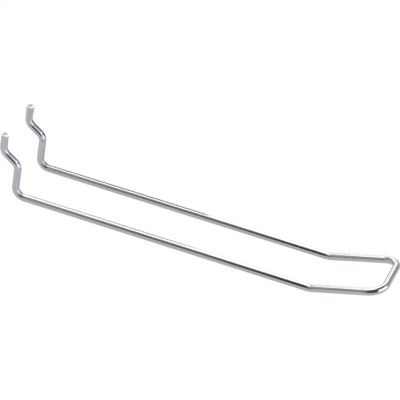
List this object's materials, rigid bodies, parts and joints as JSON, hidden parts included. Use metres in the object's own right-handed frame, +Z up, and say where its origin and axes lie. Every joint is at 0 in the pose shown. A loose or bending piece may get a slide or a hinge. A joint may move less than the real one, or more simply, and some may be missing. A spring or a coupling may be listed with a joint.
{
  "type": "pegboard hook",
  "caption": "Loop hook of bent plated wire: bevelled prongs hook into a pegboard, and long level arms rise at the front into a closed loop.",
  "frame": {"origin": "on the board's front face, midway between the prongs, at the height of the two holes that the prongs pass through", "axes": "+Z up, +Y into the board, -Y out along the arms to the front loop, X across the arms"},
  "size_m": [0.0284, 0.1609, 0.0273],
  "materials": {
    "plated_wire": "bright plated drawn steel wire"
  },
  "bodies": {
    "root": {"hook_wire": "plated_wire"}
  },
  "joints": []
}
